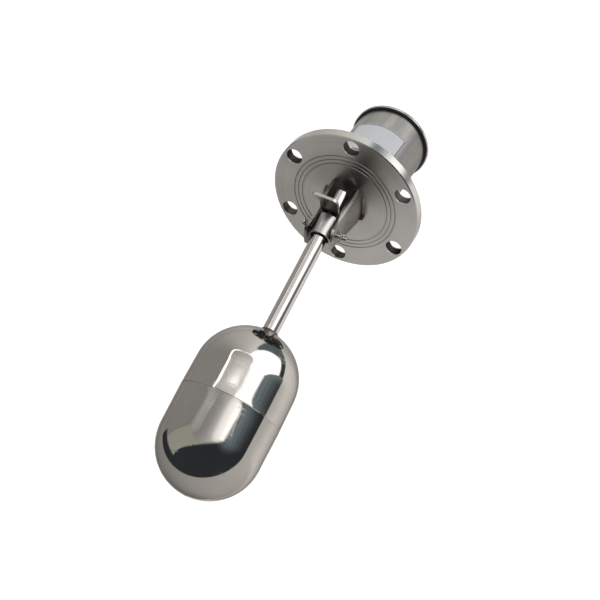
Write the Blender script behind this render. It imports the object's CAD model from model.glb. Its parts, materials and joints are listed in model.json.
"""Looks of the flanged float level switch: a finish for every part, and the studio round it."""
import json
import math

import bmesh
import bpy
from mathutils import Matrix, Vector


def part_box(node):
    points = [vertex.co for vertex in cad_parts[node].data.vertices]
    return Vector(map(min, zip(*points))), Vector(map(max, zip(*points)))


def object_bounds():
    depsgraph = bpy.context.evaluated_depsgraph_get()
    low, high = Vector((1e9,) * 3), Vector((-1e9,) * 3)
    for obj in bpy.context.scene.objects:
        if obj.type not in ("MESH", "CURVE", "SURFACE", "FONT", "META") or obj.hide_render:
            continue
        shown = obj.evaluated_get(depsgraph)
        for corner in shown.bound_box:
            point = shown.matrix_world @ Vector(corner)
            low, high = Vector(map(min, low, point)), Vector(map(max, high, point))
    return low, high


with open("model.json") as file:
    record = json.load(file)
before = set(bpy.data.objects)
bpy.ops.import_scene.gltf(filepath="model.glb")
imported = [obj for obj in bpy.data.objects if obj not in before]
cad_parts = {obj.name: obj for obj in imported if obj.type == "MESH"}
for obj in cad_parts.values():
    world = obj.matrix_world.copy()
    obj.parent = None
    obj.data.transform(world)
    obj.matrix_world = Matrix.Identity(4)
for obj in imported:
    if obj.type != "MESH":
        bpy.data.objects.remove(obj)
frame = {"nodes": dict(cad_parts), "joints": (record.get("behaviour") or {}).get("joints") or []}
cad_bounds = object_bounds()


# ---------------------------------------------------------------- flange
# A turned stainless disc, faced on the lathe, so fine rings run round its centre.  It is
# darker above the fork, and welding left a straw bloom beside each cheek.
class Value:
    """A number in a shader.  Arithmetic on it adds Math nodes to its tree."""

    def __init__(self, shader, socket):
        self.shader = shader
        self.socket = socket

    def math(self, operation, *others):
        node = self.shader.node("Math", {"operation": operation}, dict(enumerate((self,) + others)))
        return node.out()

    def __add__(self, other): return self.math("ADD", other)
    def __radd__(self, other): return self.math("ADD", other)
    def __sub__(self, other): return self.math("SUBTRACT", other)
    def __rsub__(self, other): return self.shader.number(other).math("SUBTRACT", self)
    def __mul__(self, other): return self.math("MULTIPLY", other)
    def __rmul__(self, other): return self.math("MULTIPLY", other)
    def __truediv__(self, other): return self.math("DIVIDE", other)
    def __pow__(self, other): return self.math("POWER", other)
    def __abs__(self): return self.math("ABSOLUTE")

    def rise(self, start, end, low=0.0, high=1.0):
        """A soft step from low at start to high at end."""
        node = self.shader.node("MapRange", {"interpolation_type": "SMOOTHSTEP"},
                                {"Value": self, "From Min": start, "From Max": end,
                                 "To Min": low, "To Max": high})
        return node.out("Result")

    def within(self, start, end, soft):
        """1 between start and end, falling to 0 over the width soft outside them."""
        return self.rise(start - soft, start) * (1 - self.rise(end, end + soft))


class Node:
    """A shader node, with its outputs handed back as values."""

    def __init__(self, shader, node):
        self.shader = shader
        self.node = node

    def out(self, name=0):
        return Value(self.shader, self.node.outputs[name])


class Shader:
    """The node tree of a material or of the world."""

    def __init__(self, owner):
        owner.use_nodes = True
        self.owner = owner
        self.tree = owner.node_tree
        self.tree.nodes.clear()

    def node(self, kind, settings=None, sockets=None):
        """Add a node: its settings first, then the values or links of its sockets."""
        node = self.tree.nodes.new("ShaderNode" + kind)
        for name, value in (settings or {}).items():
            if name == "stops":
                self.set_stops(node.color_ramp, value)
            else:
                setattr(node, name, value)
        for name, value in (sockets or {}).items():
            if isinstance(value, Value):
                self.tree.links.new(value.socket, node.inputs[name])
            elif isinstance(value, Node):
                self.tree.links.new(value.node.outputs[0], node.inputs[name])
            else:
                node.inputs[name].default_value = value
        return Node(self, node)

    @staticmethod
    def set_stops(ramp, stops):
        while len(ramp.elements) < len(stops):
            ramp.elements.new(1.0)
        for element, (place, colour) in zip(ramp.elements, stops):
            element.position = place
            element.color = (*colour, 1.0)

    def number(self, value):
        return self.node("Math", {"operation": "ADD"}, {0: value, 1: 0.0}).out()

    def place(self, turn=(0, 0, 0), centre=(0, 0, 0), stretch=(1, 1, 1)):
        """Object coordinates, moved to centre, turned and stretched."""
        coords = self.node("TexCoord").out("Object")
        moved = self.node("VectorMath", {"operation": "SUBTRACT"}, {0: coords, 1: centre}).out()
        turned = self.node("Mapping", {"vector_type": "POINT"}, {"Vector": moved, "Rotation": turn})
        return self.stretched(turned, stretch)

    def stretched(self, vector, by):
        return self.node("VectorMath", {"operation": "MULTIPLY"}, {0: vector, 1: by}).out()

    def parts(self, vector):
        """The x, y and z of a vector."""
        split = self.node("SeparateXYZ", sockets={"Vector": vector})
        return [split.out(name) for name in "XYZ"]

    def noise(self, vector, scale, detail=2.0, dimensions="3D", roughness=0.5):
        kind = "W" if dimensions == "1D" else "Vector"
        return self.node("TexNoise", {"noise_dimensions": dimensions},
                         {kind: vector, "Scale": scale, "Detail": detail, "Roughness": roughness}).out(0)

    def blend(self, amount, first, second):
        """A colour between first and second."""
        mix = self.node("Mix", {"data_type": "RGBA"})
        for socket, value in zip((0, 6, 7), (amount, first, second)):
            if isinstance(value, Value):
                self.tree.links.new(value.socket, mix.node.inputs[socket])
            elif socket:
                mix.node.inputs[socket].default_value = (*value, 1.0)
            else:
                mix.node.inputs[socket].default_value = value
        return mix.out(2)

    def bump(self, height, depth, strength=1.0):
        return self.node("Bump", sockets={"Height": height, "Distance": depth, "Strength": strength}).out()

    def surface(self, colour, roughness, metallic=1.0, normal=None, edge=0.55, **fixed):
        """Close a material with the shader that every finish here uses."""
        sockets = {"Roughness": roughness, "Metallic": metallic}
        sockets["Base Color"] = colour if isinstance(colour, Value) else (*colour, 1.0)
        if normal:
            sockets["Normal"] = normal
        if metallic:
            sockets["Specular Tint"] = (edge, edge, edge, 1.0)
        sockets.update({name.replace("_", " "): value for name, value in fixed.items()})
        body = self.node("BsdfPrincipled", sockets=sockets)
        self.node("OutputMaterial", sockets={"Surface": body})
        return self.owner


def new_finish(name):
    return Shader(bpy.data.materials.new(name))


def dress(material, *names):
    """Give a finish to CAD parts."""
    for name in names:
        for slot in frame["nodes"][name].material_slots:
            slot.material = material


flange_low, flange_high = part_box("flange")
flange_radius = flange_high.z
bolt_ring = 0.042                   # radius inside the bolt holes
bloom_ring = (0.0178, 0.0190)       # radii of the bloom beside the fork's welds
straw = (0.40, 0.26, 0.14)


def faced_steel():
    """Lathe-turned steel with fine rings about the X axis, a bright rim and dark bolt holes."""
    finish = new_finish("faced_steel")
    spot = finish.place()
    x, y, z = finish.parts(spot)
    radius = (y * y + z * z) ** 0.5
    cloud = finish.noise(spot, 34.0, 4.0)
    rings = finish.noise(radius, 2600.0, 3.0, "1D")
    broad_rings = finish.noise(radius, 420.0, 2.0, "1D")
    colour = finish.blend(broad_rings.rise(0.3, 0.7) * 0.25 + cloud.rise(0.3, 0.7) * 0.5,
                          (0.42, 0.405, 0.38), (0.58, 0.565, 0.535))
    lower_right = (y * 0.8 - z * 0.6).rise(0.0, 0.05)
    colour = finish.blend(lower_right * 0.45, colour, (0.78, 0.76, 0.73))
    over_fork = (z / radius).rise(-0.1, 0.9) * radius.within(0.012, 0.032, 0.018)
    colour = finish.blend(over_fork * (cloud * 0.4 + 0.4), colour, (0.24, 0.23, 0.215))
    beside_weld = (abs(y) / radius).rise(0.84, 0.95) * radius.within(*bloom_ring, 0.0013)
    bloom = beside_weld * 0.65 + radius.within(0.006, 0.0165, 0.003) * cloud.rise(0.45, 0.65) * 0.25
    colour = finish.blend(bloom * x.rise(-0.001, 0.0), colour, straw)
    inside_faces = x.within(flange_low.x + 0.0010, -0.0009, 0.0004)
    holes = inside_faces * radius.within(bolt_ring, flange_radius - 0.0016, 0.0004)
    hole_walls = finish.blend(cloud.rise(0.4, 0.6), (0.04, 0.038, 0.036), (0.11, 0.105, 0.10))
    colour = finish.blend(holes, colour, hole_walls)
    rim = radius.rise(flange_radius - 0.0008, flange_radius - 0.0003)
    colour = finish.blend(rim, colour, (0.52, 0.505, 0.48))
    roughness = 0.25 + rings * 0.06 + cloud * 0.1 + holes * 0.2 - rim * 0.12
    normal = finish.bump(rings + broad_rings * 0.15, 0.00002, 0.6)
    return finish.surface(colour, roughness, normal=normal)


dress(faced_steel(), "flange")


# ---------------------------------------------------------------- forked pivot
# Two curved cheeks brushed along their length, the left one darker, each browned at the foot
# by its weld.
steel = (0.42, 0.385, 0.355)
heat_blue = (0.15, 0.18, 0.23)


def sheet_steel():
    finish = new_finish("fork_steel")
    spot = finish.place()
    x, y, z = finish.parts(spot)
    grain = finish.noise(finish.place(stretch=(1, 12, 12)), 160.0, 3.0)
    cloud = finish.noise(spot, 60.0, 2.0)
    colour = finish.blend(grain.rise(0.3, 0.7) * 0.6 + cloud * 0.3, (0.44, 0.42, 0.39), (0.62, 0.60, 0.57))
    foot = 1 - x.rise(0.003, 0.010)
    colour = finish.blend(foot * cloud.rise(0.3, 0.7) * 0.35, colour, straw)
    colour = finish.blend((1 - x.rise(0.001, 0.005)) * 0.4, colour, heat_blue)
    left = 1 - y.rise(-0.004, 0.0)
    colour = finish.blend(left * 0.65, colour, (0.13, 0.125, 0.12))
    normal = finish.bump(grain, 0.00004, 0.5)
    return finish.surface(colour, 0.24 + grain * 0.14, normal=normal)


def weld_steel():
    """Bead metal: ripples round the X axis, in the dark, blue and straw colours of heat."""
    ripples_a_turn = 130
    finish = new_finish("weld_steel")
    spot = finish.place()
    cloud = finish.noise(spot, 140.0, 3.0)
    patches = finish.noise(spot, 55.0, 1.0)
    colour = finish.blend(patches.rise(0.42, 0.58), (0.06, 0.05, 0.045), (0.22, 0.28, 0.36))
    colour = finish.blend(patches.rise(0.66, 0.72) * 0.7, colour, straw)
    colour = finish.blend(cloud.rise(0.55, 0.75), colour, steel)
    x, y, z = finish.parts(spot)
    ripples = (y.math("ARCTAN2", z) * ripples_a_turn + cloud * 4).math("SINE")
    normal = finish.bump(cloud + ripples * 0.4, 0.0003, 0.8)
    return finish.surface(colour, 0.26 + cloud * 0.2, normal=normal)


bead_finish = weld_steel()
dress(sheet_steel(), "fork_cheek_left", "fork_cheek_right")
dress(bead_finish, "fork_weld_left", "fork_weld_right", "housing_weld", "float_rod_weld", "plate_tacks")


# ---------------------------------------------------------------- pins
# The pivot pin is bright turned bar, held at each end by a split pin bent from drawn wire.  The
# lid's pillars and the lever's bracket and pin have the same turned finish.
steel_dark = (0.34, 0.31, 0.285)
steel_light = (0.52, 0.49, 0.46)


def turned_bar():
    finish = new_finish("turned_bar")
    spot = finish.place()
    grain = finish.noise(spot, 900.0, 2.0)
    cloud = finish.noise(spot, 90.0, 2.0)
    colour = finish.blend(cloud.rise(0.3, 0.7), steel_dark, steel_light)
    return finish.surface(colour, 0.2 + grain * 0.16, normal=finish.bump(grain, 0.00002, 0.5))


def drawn_wire():
    finish = new_finish("drawn_wire")
    cloud = finish.noise(finish.place(), 300.0, 2.0)
    colour = finish.blend(cloud.rise(0.3, 0.7), steel, (0.62, 0.60, 0.57))
    return finish.surface(colour, 0.25 + cloud * 0.15)


dress(turned_bar(), "pivot_pin", "lid_pillars", "lever_bracket", "lever_pin")
dress(drawn_wire(), "split_pin_left", "split_pin_right")


# ---------------------------------------------------------------- swinging arm
# The hub is a turned sleeve.  The rod and the magnet tube are polished tube, drawn along
# their length, and the stop plate is cut from brushed sheet.
arm_joint = next(joint for joint in frame["joints"] if joint["name"] == "float_arm_swing")
pivot = Vector(arm_joint["pos_m"])
float_low, float_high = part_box("float_lower_shell")
arm_drop = math.atan2(-(float_low.z + float_high.z) / 2, (float_low.x + float_high.x) / 2 - pivot.x)


def hub_steel():
    finish = new_finish("hub_steel")
    along = finish.parts(finish.place(turn=(0, -arm_drop, 0), centre=pivot))[0]
    rings = finish.noise(along, 1500.0, 3.0, "1D")
    cloud = finish.noise(finish.place(), 110.0, 2.0)
    colour = finish.blend(rings * 0.5 + cloud * 0.5, (0.32, 0.305, 0.285), (0.46, 0.445, 0.42))
    return finish.surface(colour, 0.25 + rings * 0.1, normal=finish.bump(rings, 0.00003, 0.6))


def rod_steel():
    finish = new_finish("rod_steel")
    spot = finish.place(turn=(0, -arm_drop, 0), centre=pivot)
    lines = finish.noise(finish.stretched(spot, (1, 30, 30)), 60.0, 3.0)
    colour = finish.blend(lines.rise(0.3, 0.7), (0.44, 0.41, 0.39), (0.54, 0.51, 0.48))
    return finish.surface(colour, 0.08 + lines * 0.08, normal=finish.bump(lines, 0.00001, 0.5))


def plate_steel():
    finish = new_finish("plate_steel")
    spot = finish.place(turn=(0, -arm_drop, 0), centre=pivot)
    grain = finish.noise(finish.stretched(spot, (14, 1, 14)), 150.0, 3.0)
    cloud = finish.noise(spot, 90.0, 2.0)
    colour = finish.blend(grain.rise(0.3, 0.7) * 0.6 + cloud * 0.4, (0.34, 0.325, 0.305), steel_light)
    return finish.surface(colour, 0.22 + grain * 0.14, normal=finish.bump(grain, 0.00004, 0.5))


dress(hub_steel(), "arm_hub")
dress(rod_steel(), "float_rod", "magnet_tube")
dress(plate_steel(), "stop_plate")


# ---------------------------------------------------------------- float
# Two deep-drawn cups, butt-welded and mirror polished.  A fine dark line and a low lip mark
# the seam, and polishing leaves faint hairlines both ways.
seam_place = 0.1512     # from the pivot, along the arm
lip_width, lip_height = 0.0022, 0.00017
groove_width, groove_depth = 0.00035, 0.00006


def mirror_steel():
    finish = new_finish("mirror_steel")
    spot = finish.place(turn=(0, -arm_drop, 0), centre=pivot)
    along = finish.parts(spot)[0]
    from_seam = abs(along - seam_place)
    lip = (from_seam / -lip_width).math("EXPONENT") * lip_height
    groove = from_seam.rise(0.0, groove_width, -groove_depth, 0.0)
    hair = finish.noise(finish.stretched(spot, (1, 8, 8)), 90.0, 4.0)
    cross_hair = finish.noise(finish.stretched(spot, (9, 1, 1)), 80.0, 4.0)
    smear = finish.noise(spot, 30.0, 3.0)
    colour = finish.blend(smear.rise(0.3, 0.7), (0.40, 0.377, 0.350), (0.44, 0.416, 0.388))
    seam_line = 1 - from_seam.rise(0.00015, 0.0005)
    colour = finish.blend(seam_line * smear.rise(0.35, 0.6, 0.1, 0.7), colour, (0.10, 0.09, 0.08))
    scratches = hair.rise(0.56, 0.7) + cross_hair.rise(0.56, 0.7)
    roughness = 0.04 + smear.rise(0.45, 0.8) * 0.05 + scratches * smear.rise(0.35, 0.6) * 0.16
    normal = finish.bump(lip + groove + hair * 0.0000035, 1.0)
    return finish.surface(colour, roughness, normal=normal, edge=0.38)


dress(mirror_steel(), "float_upper_shell", "float_lower_shell")


# ---------------------------------------------------------------- housing
# A tube welded behind the flange, brushed along and darker on its right.  The nameplate on it
# is a thin bare plate with a dark border.
def housing_steel():
    finish = new_finish("housing_steel")
    spot = finish.place()
    grain = finish.noise(finish.place(stretch=(1, 10, 10)), 90.0, 3.0)
    cloud = finish.noise(spot, 28.0, 2.0)
    x, y, z = finish.parts(spot)
    angle = y.math("ARCTAN2", z)
    bands = finish.noise(angle, 5.0, 3.0, "1D")
    streaks = grain.rise(0.3, 0.7) * 0.2 + cloud.rise(0.3, 0.7) * 0.3 + bands.rise(0.35, 0.65) * 0.3
    colour = finish.blend(streaks, (0.27, 0.26, 0.24), (0.46, 0.445, 0.415))
    right_hand = angle.rise(0.2, 1.1)
    colour = finish.blend(right_hand * 0.55, colour, (0.16, 0.155, 0.145))
    return finish.surface(colour, 0.30 + cloud * 0.1, normal=finish.bump(grain, 0.00002, 0.4))


plate_low, plate_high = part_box("nameplate")
tube_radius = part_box("housing_tube")[1].z


def bare_plate():
    finish = new_finish("bare_plate")
    spot = finish.place()
    x, y, z = finish.parts(spot)
    angle = y.math("ARCTAN2", z)
    half = math.asin(plate_high.y / tube_radius)
    border, line_width = 0.0012, 0.0006
    long_way = abs(x - (plate_low.x + plate_high.x) / 2) + (border - (plate_high.x - plate_low.x) / 2)
    cross_way = (abs(angle) - half) * tube_radius + border
    line = long_way.math("MAXIMUM", cross_way).within(0.0, line_width, 0.0002)
    speckle = finish.noise(spot, 900.0, 2.0)
    face = finish.blend(speckle, (0.455, 0.457, 0.487), (0.50, 0.502, 0.532))
    colour = finish.blend(line, face, (0.05, 0.06, 0.10))
    return finish.surface(colour, 0.42, metallic=0.0, normal=finish.bump(speckle, 0.00002, 0.4))


dress(housing_steel(), "housing_tube", "cable_spud")
dress(bare_plate(), "nameplate")


# ---------------------------------------------------------------- lid and gasket
# The lid is turned, with fine rings on its face, over a moulded black rubber gasket, and
# three plain screws hold it.
def lid_steel():
    finish = new_finish("lid_steel")
    spot = finish.place()
    x, y, z = finish.parts(spot)
    radius = (y * y + z * z) ** 0.5
    rings = finish.noise(radius, 1800.0, 3.0, "1D")
    cloud = finish.noise(spot, 35.0, 2.0)
    colour = finish.blend(rings * 0.5 + cloud * 0.5, (0.56, 0.54, 0.51), (0.70, 0.68, 0.65))
    return finish.surface(colour, 0.2 + rings * 0.1, normal=finish.bump(rings, 0.00003, 0.5))


def black_rubber():
    finish = new_finish("black_rubber")
    cloud = finish.noise(finish.place(), 500.0, 3.0)
    colour = finish.blend(cloud, (0.008, 0.008, 0.009), (0.022, 0.022, 0.023))
    return finish.surface(colour, 0.5 + cloud * 0.2, metallic=0.0, normal=finish.bump(cloud, 0.0001, 0.4))


def screw_steel():
    finish = new_finish("screw_steel")
    cloud = finish.noise(finish.place(), 420.0, 2.0)
    colour = finish.blend(cloud.rise(0.3, 0.7), steel, (0.60, 0.58, 0.55))
    return finish.surface(colour, 0.24 + cloud * 0.12)


dress(lid_steel(), "lid")
dress(black_rubber(), "lid_gasket", "gland_seal")
dress(screw_steel(), "lid_screws", "bracket_screws", "terminal_screws")


# ---------------------------------------------------------------- cable gland
# The gland closes the cable's way into the housing: a body screwed into the spud, and a nut that
# squeezes the seal.  Both are nickel-plated brass, turned and milled.
def nickel_plate():
    finish = new_finish("nickel_plate")
    cloud = finish.noise(finish.place(), 200.0, 3.0)
    colour = finish.blend(cloud, (0.50, 0.48, 0.43), (0.60, 0.57, 0.52))
    return finish.surface(colour, 0.22 + cloud * 0.12, normal=finish.bump(cloud, 0.00002, 0.4))


dress(nickel_plate(), "gland_body", "gland_nut")


# ---------------------------------------------------------------- switch mechanism
# Inside the housing a moulded lever tips between two copper contacts on a laminate board.  A
# sintered magnet on the arm works it through the flange by another one in the lever.
def moulded_plastic():
    finish = new_finish("moulded_plastic")
    cloud = finish.noise(finish.place(), 700.0, 2.0)
    colour = finish.blend(cloud, (0.02, 0.02, 0.022), (0.04, 0.04, 0.043))
    normal = finish.bump(cloud, 0.00004, 0.4)
    return finish.surface(colour, 0.45 + cloud * 0.15, metallic=0.0, normal=normal)


def laminate():
    finish = new_finish("laminate")
    weave = finish.noise(finish.place(stretch=(1, 1, 6)), 260.0, 3.0)
    colour = finish.blend(weave, (0.20, 0.09, 0.035), (0.30, 0.15, 0.06))
    return finish.surface(colour, 0.38 + weave * 0.15, metallic=0.0)


def sintered_magnet():
    finish = new_finish("sintered_magnet")
    grain = finish.noise(finish.place(), 1200.0, 3.0)
    colour = finish.blend(grain, (0.03, 0.03, 0.033), (0.08, 0.08, 0.085))
    return finish.surface(colour, 0.5 + grain * 0.2, metallic=0.3, normal=finish.bump(grain, 0.00005, 0.5))


def contact_copper():
    finish = new_finish("contact_copper")
    cloud = finish.noise(finish.place(), 260.0, 2.0)
    colour = finish.blend(cloud, (0.70, 0.36, 0.20), (0.82, 0.50, 0.32))
    return finish.surface(colour, 0.2 + cloud * 0.2)


dress(moulded_plastic(), "switch_lever")
dress(laminate(), "terminal_board")
dress(sintered_magnet(), "arm_magnet", "lever_magnet")
dress(contact_copper(), "moving_contact", "fixed_contact_upper", "fixed_contact_lower")


# ---------------------------------------------------------------- studio
# A white table, a grey ceiling with a bright edge, a softbox on one side and a dark wall behind
# the camera.  Polished steel shows them all, so the room is drawn by direction round the part.
def pale_floor():
    finish = new_finish("pale_floor")
    shade = finish.noise(finish.place(), 3.0, 2.0)
    colour = finish.blend(shade, (0.80, 0.80, 0.80), (0.82, 0.82, 0.82))
    return finish.surface(colour, 0.9, metallic=0.0, Emission_Color=(1.0, 1.0, 1.0, 1.0),
                          Emission_Strength=0.35)


def make_floor():
    floor_radius, below_float = 6.0, 0.30
    mesh = bmesh.new()
    bmesh.ops.create_circle(mesh, cap_ends=True, segments=96, radius=floor_radius)
    bmesh.ops.translate(mesh, verts=mesh.verts, vec=(0, 0, cad_bounds[0][2] - below_float))
    data = bpy.data.meshes.new("floor")
    mesh.to_mesh(data)
    mesh.free()
    floor = bpy.data.objects.new("floor", data)
    bpy.context.scene.collection.objects.link(floor)
    data.materials.append(pale_floor())
    floor.visible_glossy = False


make_floor()


class Studio(Shader):
    """The room as the steel sees it, in degrees of azimuth from +X and of elevation."""

    def __init__(self, world):
        super().__init__(world)
        self.x, self.y, z = self.parts(self.node("TexCoord").out("Generated"))
        self.azimuth = self.y.math("ARCTAN2", self.x).math("DEGREES")
        level = z.math("MAXIMUM", -0.9999).math("MINIMUM", 0.9999)
        self.elevation = level.math("ARCSINE").math("DEGREES")
        nearest, level_edge, dip = -35, -8.5, 13     # the table's edge dips most at its nearest side
        self.horizon = level_edge - (self.azimuth - nearest).math("RADIANS").math("COSINE") * dip
        self.view = None

    def all_round(self, tint, *stops):
        """A tint whose brightness changes with azimuth, given as (degrees, brightness)."""
        half = 0.5     # a ramp holds no colour above 1, so it holds half of each
        places = [((degrees + 180) / 360, tuple(half * level * part for part in tint))
                  for degrees, level in stops]
        turn = (self.azimuth + 180) / 360
        ramp = self.node("ValToRGB", {"stops": places}, {"Fac": turn}).out("Color")
        return self.node("VectorMath", {"operation": "SCALE"}, {0: ramp, "Scale": 1 / half}).out()

    def paint(self, amount, colour):
        self.view = self.blend(amount, self.view, colour)

    def table_and_walls(self):
        azimuth, elevation = self.azimuth, self.elevation
        above = elevation - self.horizon
        table = self.all_round((1.0, 0.98, 0.97), (-180, 1.2), (-150, 1.3), (-130, 0.95), (-110, 0.66),
                               (-60, 0.52), (-25, 0.60), (5, 0.70), (40, 0.77), (80, 0.86), (105, 0.95),
                               (118, 1.35), (145, 1.35), (165, 1.0), (180, 1.2))
        pool = (1 - elevation.rise(-46, -34)) * azimuth.within(-155, -125, 22)
        table = self.blend(pool, table, (1.9, 1.9, 1.88))
        wall = self.all_round((1.0, 1.01, 0.985), (-180, 1.25), (-155, 0.97), (-135, 0.82), (-115, 0.60),
                              (-100, 0.50), (-78, 0.46), (-74, 0.36), (90, 0.36), (100, 1.3), (180, 1.25))
        self.view = self.blend(above.rise(-1.5, 1.5), table, wall)
        beige = azimuth.within(-76, 0, 1.5) * above.rise(-1, 1)
        self.paint(beige, (0.61, 0.65, 0.57))

    def ceiling(self):
        """A grey panel overhead with rounded corners and a bright edge."""
        x, y, elevation = self.x, self.y, self.elevation
        front = self.all_round((1.0, 1.0, 1.0), (-180, 1.2), (-155, 1.05), (-125, 0.84), (-75, 0.80),
                               (-45, 0.51), (-25, 0.57), (5, 0.74), (25, 0.95), (35, 1.15), (45, 1.6),
                               (58, 1.99), (165, 1.99), (180, 1.2))
        back = self.blend((x + y * 0.5).rise(-0.45, 0.2), (0.66, 0.66, 0.65), (1.25, 1.25, 1.23))
        panel = self.blend(x.rise(0.14, 0.16), back, front)
        middle, half_depth = -0.05, 0.19
        across = (abs(x - middle) / half_depth) ** 4 * (1 - x.rise(0.155, 0.165))
        sideways = abs((y + 0.11).math("MINIMUM", 0.0)) / x.rise(0.10, 0.16, 0.41, 0.455)
        from_middle = across + sideways ** 4
        self.paint(elevation.rise(50, 56) * (1 - from_middle.rise(0.9, 1.05)), panel)
        edge = from_middle.within(1.0, 1.55, 0.12) * elevation.rise(50, 52) * (1 - x.rise(0.15, 0.16))
        self.paint(edge, (3.0, 3.0, 2.95))

    def softbox(self):
        """A bright panel with a dark band under it and a blue-grey screen at its far side."""
        azimuth, elevation = self.azimuth, self.elevation
        past = azimuth - (132 + elevation * 0.6)
        panel = azimuth.rise(60, 76) * (1 - past.rise(0, 3)) * elevation.within(19, 74, 4)
        self.paint(panel, (2.8, 2.8, 2.8))
        self.paint(azimuth.within(95, 172, 6) * elevation.within(7, 14, 3), (0.07, 0.08, 0.09))
        screen = past.rise(0, 3) * (1 - azimuth.rise(174, 179)) * elevation.within(6, 52, 4)
        self.paint(screen, (0.18, 0.23, 0.26))

    def dark_wall(self):
        """The dark side behind the camera, an arch that glows blue where the softbox lights it."""
        azimuth, elevation = self.azimuth, self.elevation
        middle, half_width, height, foot = 36, 81, 62, -3
        arch = (1 - ((azimuth - middle) / half_width) ** 2).math("MAXIMUM", 0.0) ** 0.5 * height + foot
        below_arch = arch - elevation
        lines = (azimuth * 1.8).math("SINE").math("MAXIMUM", (elevation * 1.8).math("SINE"))
        glow = azimuth.rise(46, 88) * (1 - below_arch.rise(2, 32)) * (1 - lines.rise(0.6, 1.0) * 0.4)
        colour = self.blend(glow, (0.05, 0.057, 0.068), (0.36, 0.44, 0.49))
        softness = 3 + azimuth.rise(-20, 30) * 2 - azimuth.rise(55, 80) * 3
        covered = (below_arch / softness).rise(-1, 1) * (elevation - self.horizon).rise(-1.5, 1.5)
        self.paint(covered * azimuth.rise(-91, -88) * (1 - azimuth.rise(116, 120)), colour)

    def light(self):
        """White for the camera, the room for everything else."""
        self.paint(self.node("LightPath").out("Is Camera Ray"), (1.0, 1.0, 1.0))
        background = self.node("Background", sockets={"Color": self.view, "Strength": 1.0})
        self.node("OutputWorld", sockets={"Surface": background})


world = bpy.data.worlds.new("studio")
bpy.context.scene.world = world
studio = Studio(world)
studio.table_and_walls()
studio.ceiling()
studio.softbox()
studio.dark_wall()
studio.light()


def make_camera():
    """A long lens above and in front, leaning a little, aimed at the rod."""
    aim = Vector((0.0681, 0.0, -0.0461))
    distance = 0.8425
    azimuth, elevation, lean = (math.radians(angle) for angle in (22.565, 45.424, 5.721))
    back = Vector((math.cos(elevation) * math.cos(azimuth), math.cos(elevation) * math.sin(azimuth),
                   math.sin(elevation)))
    data = bpy.data.cameras.new("camera")
    data.sensor_width = 36.0
    data.lens = 67.3
    camera = bpy.data.objects.new("camera", data)
    turn = back.to_track_quat("Z", "Y").to_matrix().to_4x4()
    camera.matrix_world = Matrix.Translation(aim + back * distance) @ turn @ Matrix.Rotation(lean, 4, "Z")
    bpy.context.scene.collection.objects.link(camera)
    bpy.context.scene.camera = camera


make_camera()
bpy.context.scene.view_settings.view_transform = "Standard"
